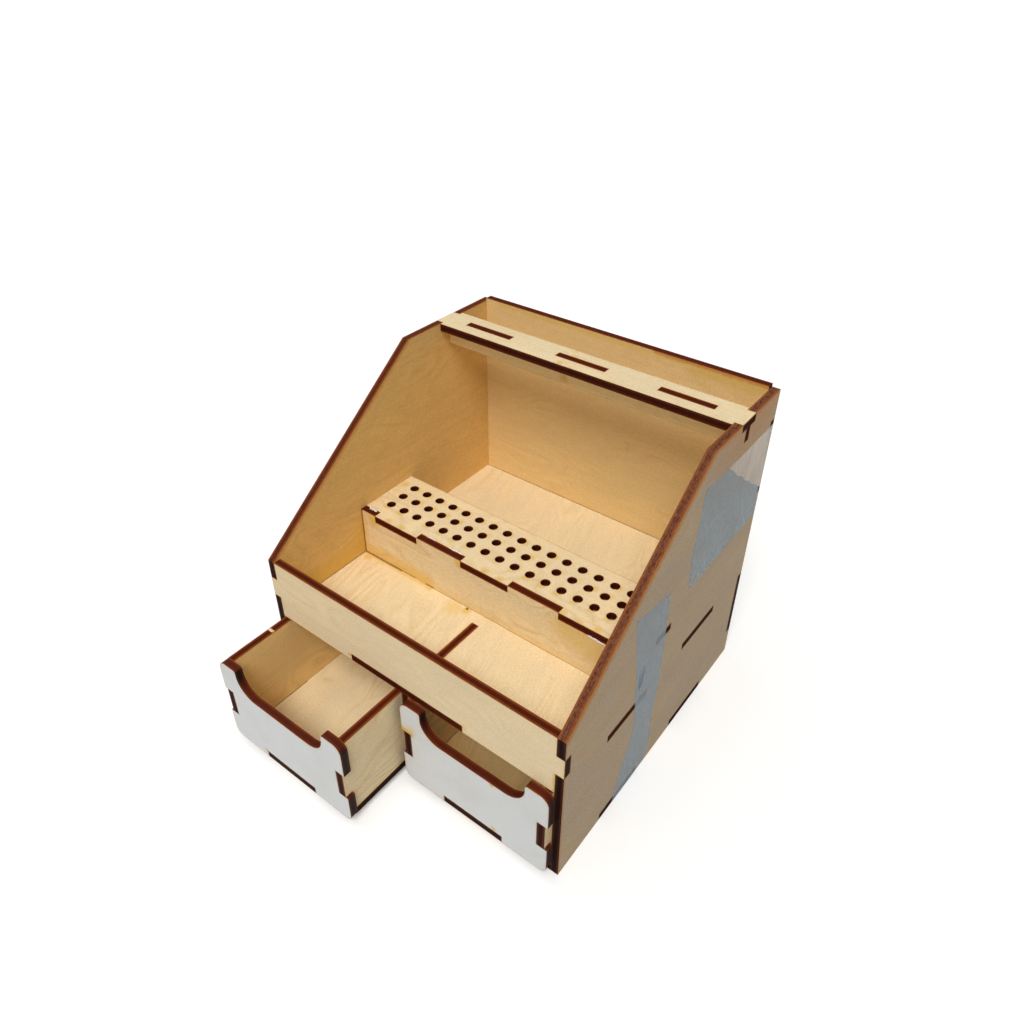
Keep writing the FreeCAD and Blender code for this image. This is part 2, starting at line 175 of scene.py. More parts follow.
class Recipe:
    """Adds and links the nodes of one material or one node group."""

    def __init__(self, tree):
        self.tree = tree
        tree.nodes.clear()

    def add(self, kind, **settings):
        node = self.tree.nodes.new(kind)
        for key, value in settings.items():
            setattr(node, key, value)
        return node

    def feed(self, socket, value):
        """Links a socket or sets a value; a colour of three parts becomes an opaque one."""
        if isinstance(value, bpy.types.NodeSocket):
            self.tree.links.new(value, socket)
        elif socket.type == "RGBA":
            socket.default_value = (*value[:3], 1.0)
        else:
            socket.default_value = value

    def calc(self, operation, *values, clamp=False):
        node = self.add("ShaderNodeMath", operation=operation, use_clamp=clamp)
        for socket, value in zip(node.inputs, values):
            self.feed(socket, value)
        return node.outputs[0]

    def plus(self, first, second):
        return self.calc("ADD", first, second)

    def minus(self, first, second):
        return self.calc("SUBTRACT", first, second)

    def times(self, first, second):
        return self.calc("MULTIPLY", first, second)

    def larger(self, first, second):
        return self.calc("MAXIMUM", first, second)

    def magnitude(self, value):
        return self.calc("ABSOLUTE", value)

    def vector(self, operation, *values):
        node = self.add("ShaderNodeVectorMath", operation=operation)
        for socket, value in zip(node.inputs, values):
            self.feed(socket, value)
        gives_number = operation in ("DISTANCE", "DOT_PRODUCT")
        return node.outputs["Value" if gives_number else "Vector"]

    def blend(self, factor, first, second, mode="MIX"):
        node = self.add("ShaderNodeMix", data_type="RGBA", blend_type=mode)
        self.feed(node.inputs[0], factor)
        self.feed(node.inputs[6], first)
        self.feed(node.inputs[7], second)
        return node.outputs[2]

    def between(self, value, low, high, to_low=0.0, to_high=1.0):
        """Eases from to_low to to_high while value goes from low to high."""
        node = self.add("ShaderNodeMapRange", interpolation_type="SMOOTHSTEP")
        for socket, given in zip(node.inputs, (value, low, high, to_low, to_high)):
            self.feed(socket, given)
        return node.outputs[0]

    def noise(self, place, density, detail, roughness, distortion=0.0):
        """Noise in 0 to 1, with that many features per unit of each axis of place."""
        node = self.add("ShaderNodeTexNoise")
        node.inputs["Scale"].default_value = 1.0
        node.inputs["Detail"].default_value = detail
        node.inputs["Roughness"].default_value = roughness
        node.inputs["Distortion"].default_value = distortion
        self.feed(node.inputs["Vector"], self.vector("MULTIPLY", place, density))
        return node.outputs["Fac"]

    def sway(self, base, noise, strength):
        """Adds a noise of 0 to 1 that raises base as much as it lowers it."""
        centred = self.minus(noise, 0.5)
        return self.plus(base, self.times(centred, strength))

    def dim(self, colour, light):
        return self.vector("MULTIPLY", colour, self.join(light, light, light))

    def millimetres(self):
        """Object coordinates in millimetres."""
        place = self.add("ShaderNodeTexCoord").outputs["Object"]
        return self.vector("MULTIPLY", place, (1 / MM,) * 3)

    def bump(self, shader, height, strength, depth):
        """Bumps of the given depth in millimetres where height goes from 0 to 1."""
        bump = self.add("ShaderNodeBump")
        bump.inputs["Strength"].default_value = strength
        bump.inputs["Distance"].default_value = depth * MM
        self.feed(bump.inputs["Height"], height)
        self.feed(shader.inputs["Normal"], bump.outputs[0])

    def split(self, vector):
        node = self.add("ShaderNodeSeparateXYZ")
        self.feed(node.inputs[0], vector)
        return node.outputs

    def join(self, x, y, z):
        node = self.add("ShaderNodeCombineXYZ")
        for socket, value in zip(node.inputs, (x, y, z)):
            self.feed(socket, value)
        return node.outputs[0]

    def group(self, tree, **values):
        node = self.add("ShaderNodeGroup", node_tree=tree)
        for name, value in values.items():
            self.feed(node.inputs[name.replace("_", " ").capitalize()], value)
        return node.outputs


def new_group(name, inputs, outputs):
    """An empty node group with its sockets, its recipe, and the sockets inside it."""
    tree = bpy.data.node_groups.new(name, "ShaderNodeTree")
    kinds = {"colour": "NodeSocketColor", "vector": "NodeSocketVector", "number": "NodeSocketFloat"}
    for label, kind in inputs:
        tree.interface.new_socket(label, in_out="INPUT", socket_type=kinds[kind])
    for label, kind in outputs:
        tree.interface.new_socket(label, in_out="OUTPUT", socket_type=kinds[kind])
    recipe = Recipe(tree)
    return recipe, recipe.add("NodeGroupInput").outputs, recipe.add("NodeGroupOutput").inputs


def new_material(name):
    material = bpy.data.materials.new(name)
    material.use_nodes = True
    recipe = Recipe(material.node_tree)
    shader = recipe.add("ShaderNodeBsdfPrincipled")
    output = recipe.add("ShaderNodeOutputMaterial")
    recipe.feed(output.inputs["Surface"], shader.outputs[0])
    return material, recipe, shader


# --- Plywood ---

# noises of the veneer: features per millimetre along the grain, across it and through the panel
GRAIN = {
    "cloud": (0.022, 0.06, 0.05),
    "band": (0.012, 0.34, 0.2),
    "streak": (0.09, 2.2, 1.0),
    "pore": (0.42, 3.4, 1.0),
    "fleck": (2.4, 0.55, 1.0),
    "speck": (1.2, 3.0, 1.0),
    "growth": (0.016, 0.045, 0.03),
}
# how many growth lines the slow noise is cut into
GROWTH_LINES = 12.0
# what the warmer bands of the veneer are multiplied by
GOLDEN = (1.0, 0.88, 0.68)


def make_birch_group(plywood):
    """Birch veneer. Position is in millimetres, with the grain along its X and the face in XY."""
    recipe, given, result = new_group(
        "birch veneer",
        [("Position", "vector"), ("Tone", "colour"), ("Figure", "number")],
        [("Colour", "colour"), ("Height", "number")])
    place = given["Position"]

    cloud = recipe.noise(place, GRAIN["cloud"], 3.0, 0.55)
    band = recipe.noise(place, GRAIN["band"], 2.0, 0.5, 0.4)
    streak = recipe.noise(place, GRAIN["streak"], 3.0, 0.6)
    pore = recipe.noise(place, GRAIN["pore"], 1.0, 0.5)
    fleck = recipe.noise(place, GRAIN["fleck"], 1.0, 0.5)
    speck = recipe.noise(place, GRAIN["speck"], 1.0, 0.5)

    # growth lines are the contour lines of a slow, wandering noise
    slow = recipe.noise(place, GRAIN["growth"], 2.0, 0.45, 0.5)
    turns = recipe.calc("FRACT", recipe.times(slow, GROWTH_LINES))
    from_line = recipe.magnitude(recipe.minus(turns, 0.5))
    line = recipe.between(from_line, 0.0, 0.11, 1.0, 0.0)
    shoulder = recipe.between(from_line, 0.0, 0.45, 0.6, 0.0)
    presence = recipe.between(cloud, 0.4, 0.66)
    figure = recipe.times(recipe.larger(line, shoulder), presence)
    figure = recipe.times(figure, given["Figure"])

    light = recipe.sway(1.0, cloud, 0.26)
    light = recipe.sway(light, band, plywood.streak_strength * 1.3)
    light = recipe.sway(light, streak, plywood.streak_strength * 1.8)
    light = recipe.sway(light, speck, 0.45)
    light = recipe.minus(light, recipe.between(pore, 0.66, 0.8, 0.0, 0.11))
    light = recipe.minus(light, recipe.between(fleck, 0.66, 0.84, 0.0, 0.055))
    warm = recipe.blend(figure, given["Tone"], plywood.figure)
    golden = recipe.blend(recipe.between(band, 0.5, 0.8, 0.0, 0.22), warm, GOLDEN, "MULTIPLY")
    recipe.feed(result["Colour"], recipe.dim(golden, light))
    height = recipe.minus(streak, recipe.between(pore, 0.64, 0.8, 0.0, 0.5))
    recipe.feed(result["Height"], height)
    return recipe.tree


def make_edge_group(plywood):
    """Laser-burnt edge. Across runs from 0 to 1 through the plies."""
    recipe, given, result = new_group(
        "burnt edge",
        [("Position", "vector"), ("Across", "number"), ("Veneer", "colour"), ("Soot", "number"),
         ("Ash", "number")],
        [("Colour", "colour"), ("Height", "number")])
    place = given["Position"]

    waver = recipe.noise(place, (0.12, 0.12, 0.02), 3.0, 0.6)
    across = recipe.sway(given["Across"], waver, 0.14)
    from_middle = recipe.magnitude(recipe.minus(across, 0.5))
    core = recipe.between(from_middle, 0.2, 0.31, 1.0, 0.0)
    outer = recipe.between(from_middle, 0.4, 0.52)
    burnt = recipe.blend(core, given["Veneer"], plywood.core_char)
    # painted shade: the more soot, the darker and greyer the plies and the less scorch shows
    shaded_plies = recipe.blend(core, plywood.veneer_shade, plywood.core_shade_and_grime)
    burnt = recipe.blend(given["Soot"], burnt, shaded_plies)
    bare = recipe.calc("MULTIPLY", outer, recipe.minus(0.4, given["Soot"]), clamp=True)
    burnt = recipe.blend(bare, burnt, plywood.scorch)

    pulse = recipe.noise(place, (2.6, 2.6, 0.16), 2.0, 0.6)
    patch = recipe.noise(place, (0.16, 0.16, 0.1), 3.0, 0.6)
    light = recipe.plus(0.52, recipe.times(pulse, 0.5))
    light = recipe.plus(light, recipe.times(patch, 0.5))
    burnt = recipe.dim(burnt, light)
    # burnt residue and painted sheen: lighter streaks only on edges that face up
    streak = recipe.noise(place, (0.75, 0.75, 2.6), 4.0, 0.7)
    ash = recipe.times(recipe.between(streak, 0.34, 0.6), given["Ash"])
    recipe.feed(result["Colour"], recipe.blend(ash, burnt, plywood.ash))
    recipe.feed(result["Height"], recipe.plus(pulse, recipe.times(streak, 0.5)))
    return recipe.tree


def make_rim_group(plywood):
    """How near a point of a face is to a cut: Rim close by, Halo further out, both 0 to 1."""
    recipe, given, result = new_group("beside a cut", [], [("Rim", "number"), ("Halo", "number")])
    facing = recipe.add("ShaderNodeNewGeometry").outputs["True Normal"]
    for label, radius, samples in (("Rim", plywood.scorch_width, 6),
                                   ("Halo", plywood.smoke_width, 4)):
        bevel = recipe.add("ShaderNodeBevel", samples=samples)
        bevel.inputs["Radius"].default_value = radius
        turned = recipe.vector("DOT_PRODUCT", bevel.outputs[0], facing)
        recipe.feed(result[label], recipe.between(turned, 0.999, 0.8, 0.0, 1.0))
    return recipe.tree


# how many streaks of burnt residue and painted sheen lie on a panel's upward edges
ASH_AND_SHEEN = {"left_side": 0.12, "right_side": 0.48, "right_drawer_left_side": 0.35}
# least painted shade on an edge that looks sideways, and on the same edge of a tab in a slot
SIDEWAYS_SHADE = 0.95
SLOT_SHADE = 0.6
IN_SLOTS = ("shelf", "bottom_panel", "bit_holder_front", "bit_holder_top", "rack_plate",
            "rack_stiffener")
# how strong the growth lines are on a panel, beside the usual
FIGURED = {"front_lip": 0.3, "back_panel": 0.45, "rack_stiffener": 0.3, "rack_plate": 0.4,
           "left_drawer_bottom": 1.2, "shelf": 0.6, "bit_holder_front": 1.0}
USUAL_FIGURE = 0.75
# degrees that the grain is turned from its axis
GRAIN_TILT = {"shelf": 14.0, "right_drawer_bottom": 20.0, "left_drawer_bottom": 6.0}
# specular level of the white facing, of panels whose tabs fill slots, and of the other panels
SHINE = {"white": 0.08, "tab": 0.005, "bare": 0.02}
# a normal's share along the panel's thickness, above which a point is on a face and not on an edge
FACE_LIMIT = 0.7

# node: (axis through the panel, axis along the grain, tone, whether its burnt edges show the plies,
#        painted shade on its upright edges)
PANELS = {
    "left_side": ("x", "y", "honey", True, 0.9),
    "right_side": ("x", "y", "cream", True, 0.95),
    "front_lip": ("y", "x", "pale", True, 0.8),
    "shelf": ("z", "y", "cream", False, 0.2),
    "bottom_panel": ("z", "x", "cream", False, 0.8),
    "back_panel": ("y", "x", "straw", False, 0.8),
    "drawer_divider": ("x", "y", "honey", True, 0.5),
    "bit_holder_front": ("y", "x", "cream", False, 0.2),
    "bit_holder_top": ("z", "x", "cream", False, 0.1),
    "rack_plate": ("z", "x", "cream", False, 0.45),
    # painted light: the stiffener's bright tone stands in for light under the rack plate
    "rack_stiffener": ("y", "x", "butter", False, 0.4),
    "left_drawer_front": ("y", "x", "cream", False, 0.75),
    # partly painted bounce light: this golden tone warms the drawers' inner faces
    "left_drawer_left_side": ("x", "y", "amber", True, 0.75),
    "left_drawer_right_side": ("x", "y", "cream", True, 0.75),
    "left_drawer_back": ("y", "x", "straw", True, 0.75),
    "left_drawer_bottom": ("z", "y", "cream", False, 0.8),
    "right_drawer_front": ("y", "x", "cream", False, 0.75),
    "right_drawer_left_side": ("x", "y", "amber", True, 0.75),
    "right_drawer_right_side": ("x", "y", "cream", True, 0.75),
    "right_drawer_back": ("y", "x", "straw", True, 0.75),
    "right_drawer_bottom": ("z", "y", "amber", False, 0.8),
}


# panel: (1 or -1 for which way its outer face looks, tone of that face)
OUTER_FACES = {
    # partly painted shade: the greyer tone of the sides' outer faces keeps them darker than their
    # inner faces
    "left_side": (-1, "shaded_stone"),
    "right_side": (1, "shaded_stone"),
    "back_panel": (1, "cream"),
    "left_drawer_left_side": (-1, "cream"),
    "right_drawer_left_side": (-1, "cream"),
}


def spot(x, y, z, radius, strength):
    """A round stain."""
    return (x, y, z), (x, y, z), radius, strength


def band(start, end, radius, strength):
    """A stain along the line from start to end."""
    return start, end, radius, strength


# panel: yellow stains that the smoke left
SMOKE = {
    "front_lip": [spot(-29.4, 0, 48.4, 1.2, 0.9), spot(28.6, 0, 49.5, 1.8, 0.5),
                  spot(-68.5, 0, 55, 2.5, 0.35),
                  band((67.8, 0, 56.2), (67.8, 0, 47), 0.8, 0.8),
                  band((67.8, 0, 56.2), (71, 0, 56.2), 0.8, 0.8)],
    "right_drawer_front": [band((0.9, -4.1, 32.4), (5.4, -4.1, 31.8), 1.7, 1.0),
                           spot(5.6, -4.1, 33.6, 2.8, 0.5), spot(44.3, -4.1, 34.4, 1.2, 0.9),
                           spot(45.2, -4.1, 8.2, 1.6, 0.7)],
    "left_drawer_front": [spot(-49.4, -32, 7.0, 1.5, 0.7)],
    "bit_holder_front": [band((-68, 47.2, 49.8), (-32, 47.2, 49.8), 7.0, 0.8),
                         band((-32, 47.2, 49.8), (68, 47.2, 49.8), 3.5, 0.3),
                         band((-68, 47.2, 50), (-68, 47.2, 73), 3.5, 0.6),
                         spot(-60.8, 47.2, 70.8, 4.2, 0.9), spot(-12.6, 47.2, 71.2, 2.6, 0.9),
                         band((40, 47.2, 68), (68, 47.2, 62), 9.0, 0.6)],
    "shelf": [spot(-29.4, 46.6, 49.8, 2.0, 0.8), spot(-8.0, 45.2, 49.8, 2.4, 0.9),
              spot(-13.5, 43.6, 49.8, 4.5, 0.5), spot(-64.5, 45.4, 49.8, 2.5, 0.8),
              band((-68, 46.9, 49.8), (-30, 46.9, 49.8), 1.6, 0.7)],
    "left_side": [band((-68.1, 47, 52), (-68.1, 16, 52), 8.0, 0.6), spot(-68.1, 46, 62, 6.0, 0.5)],
    "rack_plate": [spot(-5.0, 112.4, 140, 2.4, 0.7), spot(-6.6, 105.0, 140, 1.8, 0.8),
                   spot(-6.7, 117.2, 140, 1.8, 0.5)],
    "rack_stiffener": [spot(-7.0, 109.1, 131.0, 2.6, 0.7)],
    "back_panel": [band((-60, 135.1, 141.4), (38, 135.1, 141.4), 3.0, 0.5),
                   band((38, 135.1, 140.6), (68, 135.1, 140.6), 5.5, 0.6)],
    "left_drawer_left_side": [spot(-64.3, -26, 12, 4.0, 0.5)],
    "left_drawer_bottom": [spot(-60, -24, 7.2, 5.0, 0.4)],
}
# panel: brown stains where a face runs out to a long cut
SCORCH = {
    "right_side": [band((71.5, -2, 73.4), (71.5, 84, 140.6), 3.0, 0.8),
                   band((71.5, 82, 140.2), (71.5, 138, 140.2), 2.4, 0.7),
                   band((71.5, 0, 0), (71.5, 0, 74), 1.2, 0.5),
                   spot(71.5, 118, 158, 44.0, 0.36)],
    "back_panel": [band((20, 135.1, 141.4), (68, 135.1, 141.4), 1.5, 0.7)],
    "left_side": [band((-68.1, 0, 74.8), (-68.1, 83.4, 140), 1.6, 0.5)],
    "rack_stiffener": [band((-68, 109.1, 136.4), (68, 109.1, 136.4), 1.1, 0.8)],
}
# panel: dark lines in the joints that it makes
CHAR_LINES = {
    "bit_holder_front": [band((-68, 47.2, 49.8), (-38.5, 47.2, 49.8), 0.5, 0.95),
                         band((-31.4, 47.2, 49.8), (-27.6, 47.2, 49.8), 0.55, 0.95),
                         band((-27, 47.2, 49.8), (68, 47.2, 49.8), 0.3, 0.5),
                         band((-68, 47.2, 50), (-67.8, 47.2, 73), 0.5, 0.9)],
    "shelf": [band((-68, 46.9, 49.8), (-46, 46.9, 49.8), 0.35, 0.6),
              spot(-8.3, 46.4, 49.8, 0.7, 0.9), band((-68, 3.4, 49.8), (-68, 47, 49.8), 0.4, 0.7),
              band((-68, 135, 49.8), (68, 135, 49.8), 0.4, 0.6)],
    "left_drawer_bottom": [band((-64.3, -30, 7.2), (-64.3, 2, 7.2), 0.35, 0.8)],
    "right_drawer_bottom": [band((5.5, -2, 7.2), (5.5, 60, 7.2), 0.35, 0.7)],
}


def panel_position(recipe, node, through, along):
    """Object coordinates in millimetres, turned so that the grain is X and the thickness is Z."""
    coordinates = recipe.split(recipe.add("ShaderNodeTexCoord").outputs["Object"])
    across = next(axis for axis in AXES if axis not in (through, along))
    turned = recipe.join(*(coordinates[AXES.index(axis)] for axis in (along, across, through)))
    place = recipe.add("ShaderNodeMapping")
    place.inputs["Scale"].default_value = (1 / MM,) * 3
    place.inputs["Rotation"].default_value = (0, 0, math.radians(GRAIN_TILT.get(node, 0.0)))
    drift = random.Random(node)
    place.inputs["Location"].default_value = [drift.uniform(-900, 900) for _ in AXES]
    recipe.feed(place.inputs["Vector"], turned)
    return coordinates, place.outputs[0]


# shares of a stain's radius: where it starts to fade, where it ends, how far its border wanders
FADE_FROM, FADE_TO, WANDER = 0.3, 1.35, 1.1


def stain_mask(recipe, stains, ragged):
    """The strongest of the stains at each point, with ragged borders."""
    position = recipe.millimetres()
    mask = 0.0
    for start, end, radius, strength in stains:
        nearest = start
        if start != end:
            run = Vector(end) - Vector(start)
            from_start = recipe.vector("SUBTRACT", position, start)
            share = recipe.vector("DOT_PRODUCT", from_start, tuple(run / run.length_squared))
            share = recipe.calc("MULTIPLY", share, 1.0, clamp=True)
            along = recipe.vector("MULTIPLY", recipe.join(share, share, share), tuple(run))
            nearest = recipe.vector("ADD", along, start)
        away = recipe.vector("DISTANCE", position, nearest)
        away = recipe.plus(away, recipe.times(ragged, radius * WANDER))
        stain = recipe.between(away, radius * FADE_FROM, radius * FADE_TO, strength, 0.0)
        mask = recipe.larger(mask, stain)
    return mask


HOLE_PITCH = (7.5, 7.4)
FIRST_HOLE = (-60.0, 57.7)
# where the smoke of a hole was blown to, in the front, the middle and the rear row
BLOWN = ((-0.4, -2.0), (1.9, 1.2), (1.9, 0.0))


def bit_hole_smoke(recipe, coordinates):
    """A stain beside each bit hole, blown to a different side in each of the three rows."""
    cells, offsets = [], []
    for axis, (pitch, first) in enumerate(zip(HOLE_PITCH, FIRST_HOLE)):
        steps = recipe.calc("DIVIDE", coordinates[axis], pitch * MM)
        steps = recipe.minus(steps, first / pitch - 0.5)
        cells.append(recipe.calc("FLOOR", steps))
        offsets.append(recipe.times(recipe.minus(recipe.calc("FRACT", steps), 0.5), pitch))
    chance = recipe.add("ShaderNodeTexWhiteNoise", noise_dimensions="2D")
    recipe.feed(chance.inputs["Vector"], recipe.join(*cells, 0.0))
    front_row = recipe.calc("LESS_THAN", cells[1], 0.5)
    middle_row = recipe.minus(recipe.calc("LESS_THAN", cells[1], 1.5), front_row)
    shifts = []
    for front, middle, rear in zip(*BLOWN):
        shift = recipe.plus(rear, recipe.times(front_row, front - rear))
        shifts.append(recipe.plus(shift, recipe.times(middle_row, middle - rear)))
    away = recipe.vector("DISTANCE", recipe.join(*offsets, 0.0), recipe.join(*shifts, 0.0))
    strength = recipe.between(chance.outputs["Value"], 0.1, 0.75, 0.3, 1.0)
    return recipe.times(recipe.between(away, 0.4, 2.9, 0.8, 0.0), strength)


def is_white_faced(node):
    return node.endswith("drawer_front")


class Panel:
    """What one panel is like, and the sockets that several parts of its look share."""

    def __init__(self, recipe, node):
        # soot holds the painted shade on the panel's upright edges
        through, along, self.tone, self.plies_show, self.soot = PANELS[node]
        self.node = node
        self.axis = AXES.index(through)
        self.coordinates, self.place = panel_position(recipe, node, through, along)
        self.facing = recipe.split(recipe.add("ShaderNodeNewGeometry").outputs["True Normal"])
        self.ragged = recipe.noise(self.place, (0.5, 0.5, 0.5), 3.0, 0.6)
        self.centred = recipe.minus(self.ragged, 0.5)


def panel_tone(recipe, panel, plywood):
    """Veneer colour, and 1 on the inner face of a panel whose outer face has a tone of its own."""
    tone = getattr(plywood, panel.tone)
    if panel.node not in OUTER_FACES:
        return tone, 1.0
    outward, outer_tone = OUTER_FACES[panel.node]
    inside = recipe.calc("LESS_THAN", recipe.times(panel.facing[panel.axis], outward), 0.0)
    mottle = recipe.noise(panel.place, (1.0, 1.7, 1.0), 3.0, 0.7)
    grime = recipe.between(mottle, 0.4, 0.64, 0.0, plywood.grime_strength)
    # grime: random dark mottle on the outer face, in the colour of the shaded core
    outer = recipe.blend(grime, getattr(plywood, outer_tone), plywood.core_shade_and_grime)
    return recipe.blend(inside, outer, tone), inside


def panel_smoke(recipe, panel, rim, inside):
    """Yellow stains: a faint one along every cut and the stronger ones of the panel."""
    uneven = recipe.noise(panel.place, (0.07, 0.07, 0.07), 2.0, 0.5)
    smoke = recipe.times(rim["Halo"], recipe.between(uneven, 0.4, 0.75, 0.1, 0.6))
    if panel.node in SMOKE:
        stains = stain_mask(recipe, SMOKE[panel.node], panel.centred)
        smoke = recipe.larger(smoke, recipe.times(stains, inside))
    if panel.node == "bit_holder_top":
        smoke = recipe.larger(smoke, bit_hole_smoke(recipe, panel.coordinates))
    return smoke


def panel_face(recipe, panel, groups, plywood, fronts):
    """Colour and height of both faces, and 1 on a white facing."""
    tone, inside = panel_tone(recipe, panel, plywood)
    strength = plywood.figure_strength * FIGURED.get(panel.node, USUAL_FIGURE)
    birch = recipe.group(groups["birch"], position=panel.place, tone=tone, figure=strength)
    rim = recipe.group(groups["rim"])
    smoke = panel_smoke(recipe, panel, rim, inside)
    face = recipe.blend(recipe.times(smoke, 0.75), birch["Colour"], plywood.smoke)
    height = birch["Height"]
    line = recipe.times(recipe.between(rim["Rim"], 0.3, 0.9),
                        recipe.between(panel.ragged, 0.3, 0.62, 0.4, 0.9))
    outside = 0.0
    if is_white_faced(panel.node):
        outside = recipe.calc("LESS_THAN", panel.facing[panel.axis], 0.0)
        white, white_height = white_face(recipe, panel.place, fronts)
        white = recipe.blend(recipe.times(smoke, 0.9), white, plywood.smoke)
        face = recipe.blend(outside, face, white)
        height = recipe.blend(outside, height, white_height)
        line = recipe.between(rim["Rim"], 0.6, 1.0, 0.0, 0.5)
    if panel.node in SCORCH:
        line = recipe.larger(line, stain_mask(recipe, SCORCH[panel.node], panel.centred))
    face = recipe.blend(line, face, plywood.scorch)
    face = recipe.blend(recipe.between(rim["Rim"], 0.85, 1.0, 0.0, 0.6), face,
                        plywood.veneer_char)
    if panel.node in CHAR_LINES:
        face = recipe.blend(stain_mask(recipe, CHAR_LINES[panel.node], panel.centred), face,
                            plywood.char_line)
    return face, height, outside


def panel_edge(recipe, panel, groups, plywood):
    """Colour and height of the burnt edges."""
    low, high = (corner[panel.axis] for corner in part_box(panel.node))
    across = recipe.calc("DIVIDE", recipe.minus(panel.coordinates[panel.axis], low), high - low)
    # painted shade: the soot value darkens edges that do not face up, most of all those that look
    # sideways
    upward = recipe.between(panel.facing[2], 0.1, 0.75)
    sideways = recipe.times(recipe.magnitude(panel.facing[0]),
                            SLOT_SHADE if panel.node in IN_SLOTS else SIDEWAYS_SHADE)
    soot = recipe.times(recipe.minus(1.0, upward), recipe.larger(sideways, panel.soot))
    veneer = plywood.veneer_char if panel.plies_show else plywood.even_char
    ash = recipe.times(upward, ASH_AND_SHEEN.get(panel.node, 0.0))
    return recipe.group(groups["edge"], position=panel.place, across=across, veneer=veneer,
                        soot=soot, ash=ash)


def plywood_material(node, groups, plywood, fronts):
    """The plywood of one panel: veneer on both faces and burnt edges all round."""
    material, recipe, shader = new_material(node + "_plywood")
    panel = Panel(recipe, node)
    on_face = recipe.calc("GREATER_THAN", recipe.magnitude(panel.facing[panel.axis]), FACE_LIMIT)
    face, face_height, outside = panel_face(recipe, panel, groups, plywood, fronts)
    edge = panel_edge(recipe, panel, groups, plywood)
    recipe.feed(shader.inputs["Base Color"], recipe.blend(on_face, edge["Colour"], face))
    finish = "tab" if node in IN_SLOTS else "bare"
    shader.inputs["Roughness"].default_value = plywood.roughness
    if is_white_faced(node):
        finish = "white"
        smooth = recipe.times(outside, on_face)
        recipe.feed(shader.inputs["Roughness"], recipe.between(
            smooth, 0.0, 1.0, plywood.roughness, fronts.roughness))
    shader.inputs["Specular IOR Level"].default_value = SHINE[finish]
    recipe.bump(shader, recipe.blend(on_face, edge["Height"], face_height), 0.12, 0.04)
    return material


def white_face(recipe, place, fronts):
    """Colour and height of the thin white facing."""
    cloud = recipe.noise(place, (0.05, 0.07, 0.05), 3.0, 0.6)
    smear = recipe.noise(place, (0.5, 0.7, 0.5), 3.0, 0.6)
    dirt = recipe.plus(recipe.between(cloud, 0.4, 0.8, 0.0, 0.4),
                       recipe.between(smear, 0.45, 0.75, 0.0, 0.25))
    peel = recipe.noise(place, (1.4, 1.4, 1.4), 2.0, 0.5)
    return recipe.blend(dirt, fronts.white, fronts.smudge), peel


def finish_panels(nodes):
    """Give each listed CAD panel its own plywood."""
    scene = bpy.context.scene
    groups = plywood_groups(scene.organizer_plywood)
    for node in nodes:
        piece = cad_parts[node]
        material = plywood_material(node, groups, scene.organizer_plywood, scene.organizer_fronts)
        if not piece.material_slots:
            piece.data.materials.append(material)
        for holder in piece.material_slots:
            holder.link = "OBJECT"
            holder.material = material


def plywood_groups(plywood):
    """The node groups that every panel shares, made once."""
    makers = {"birch": ("birch veneer", make_birch_group), "edge": ("burnt edge", make_edge_group),
              "rim": ("beside a cut", make_rim_group)}
    return {key: bpy.data.node_groups.get(name) or make(plywood)
            for key, (name, make) in makers.items()}


class ORGANIZER_OT_cabinet(bpy.types.Operator):
    """Finish the seven panels of the cabinet"""
    bl_idname = "organizer.cabinet"
    bl_label = "Cabinet panels"

    def execute(self, context):
        finish_panels(["left_side", "right_side", "front_lip", "shelf", "bottom_panel",
                       "back_panel", "drawer_divider"])
        return {"FINISHED"}


class ORGANIZER_OT_bit_holder(bpy.types.Operator):
    """Finish the drilled plate of the bit holder and the strip in front of it"""
    bl_idname = "organizer.bit_holder"
    bl_label = "Bit holder"

    def execute(self, context):
        finish_panels(["bit_holder_front", "bit_holder_top"])
        return {"FINISHED"}


class ORGANIZER_OT_tool_rack(bpy.types.Operator):
    """Finish the tool rack and its stiffener"""
    bl_idname = "organizer.tool_rack"
    bl_label = "Tool rack"

    def execute(self, context):
        finish_panels(["rack_plate", "rack_stiffener"])
        return {"FINISHED"}


class ORGANIZER_OT_drawers(bpy.types.Operator):
    """Finish both drawers, with a white facing on the fronts"""
    bl_idname = "organizer.drawers"
    bl_label = "Drawers"

    def execute(self, context):
        finish_panels([node for node in PANELS if "drawer" in node and node != "drawer_divider"])
        return {"FINISHED"}


# --- Added pieces ---

def finished_mesh(name, shape):
    """The mesh of a closed shape, with its faces looking outwards."""
    bmesh.ops.recalc_face_normals(shape, faces=shape.faces[:])
    mesh = bpy.data.meshes.new(name)
    shape.to_mesh(mesh)
    shape.free()
    return mesh


def add_piece(name, mesh, material, body):
    piece = bpy.data.objects.new(name, mesh)
    mesh.materials.append(material)
    bpy.context.scene.collection.objects.link(piece)
    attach(piece, body)


# --- Film ---

# slanting border where two of the strips meet, as (y, z) on the outside of the right side panel
MEETING = ((136.6, 95.9), (131.5, 100.2), (127.0, 102.4), (122.6, 106.8), (118.5, 109.0),
           (114.0, 113.4), (109.0, 116.3), (105.5, 120.0), (99.5, 124.8))
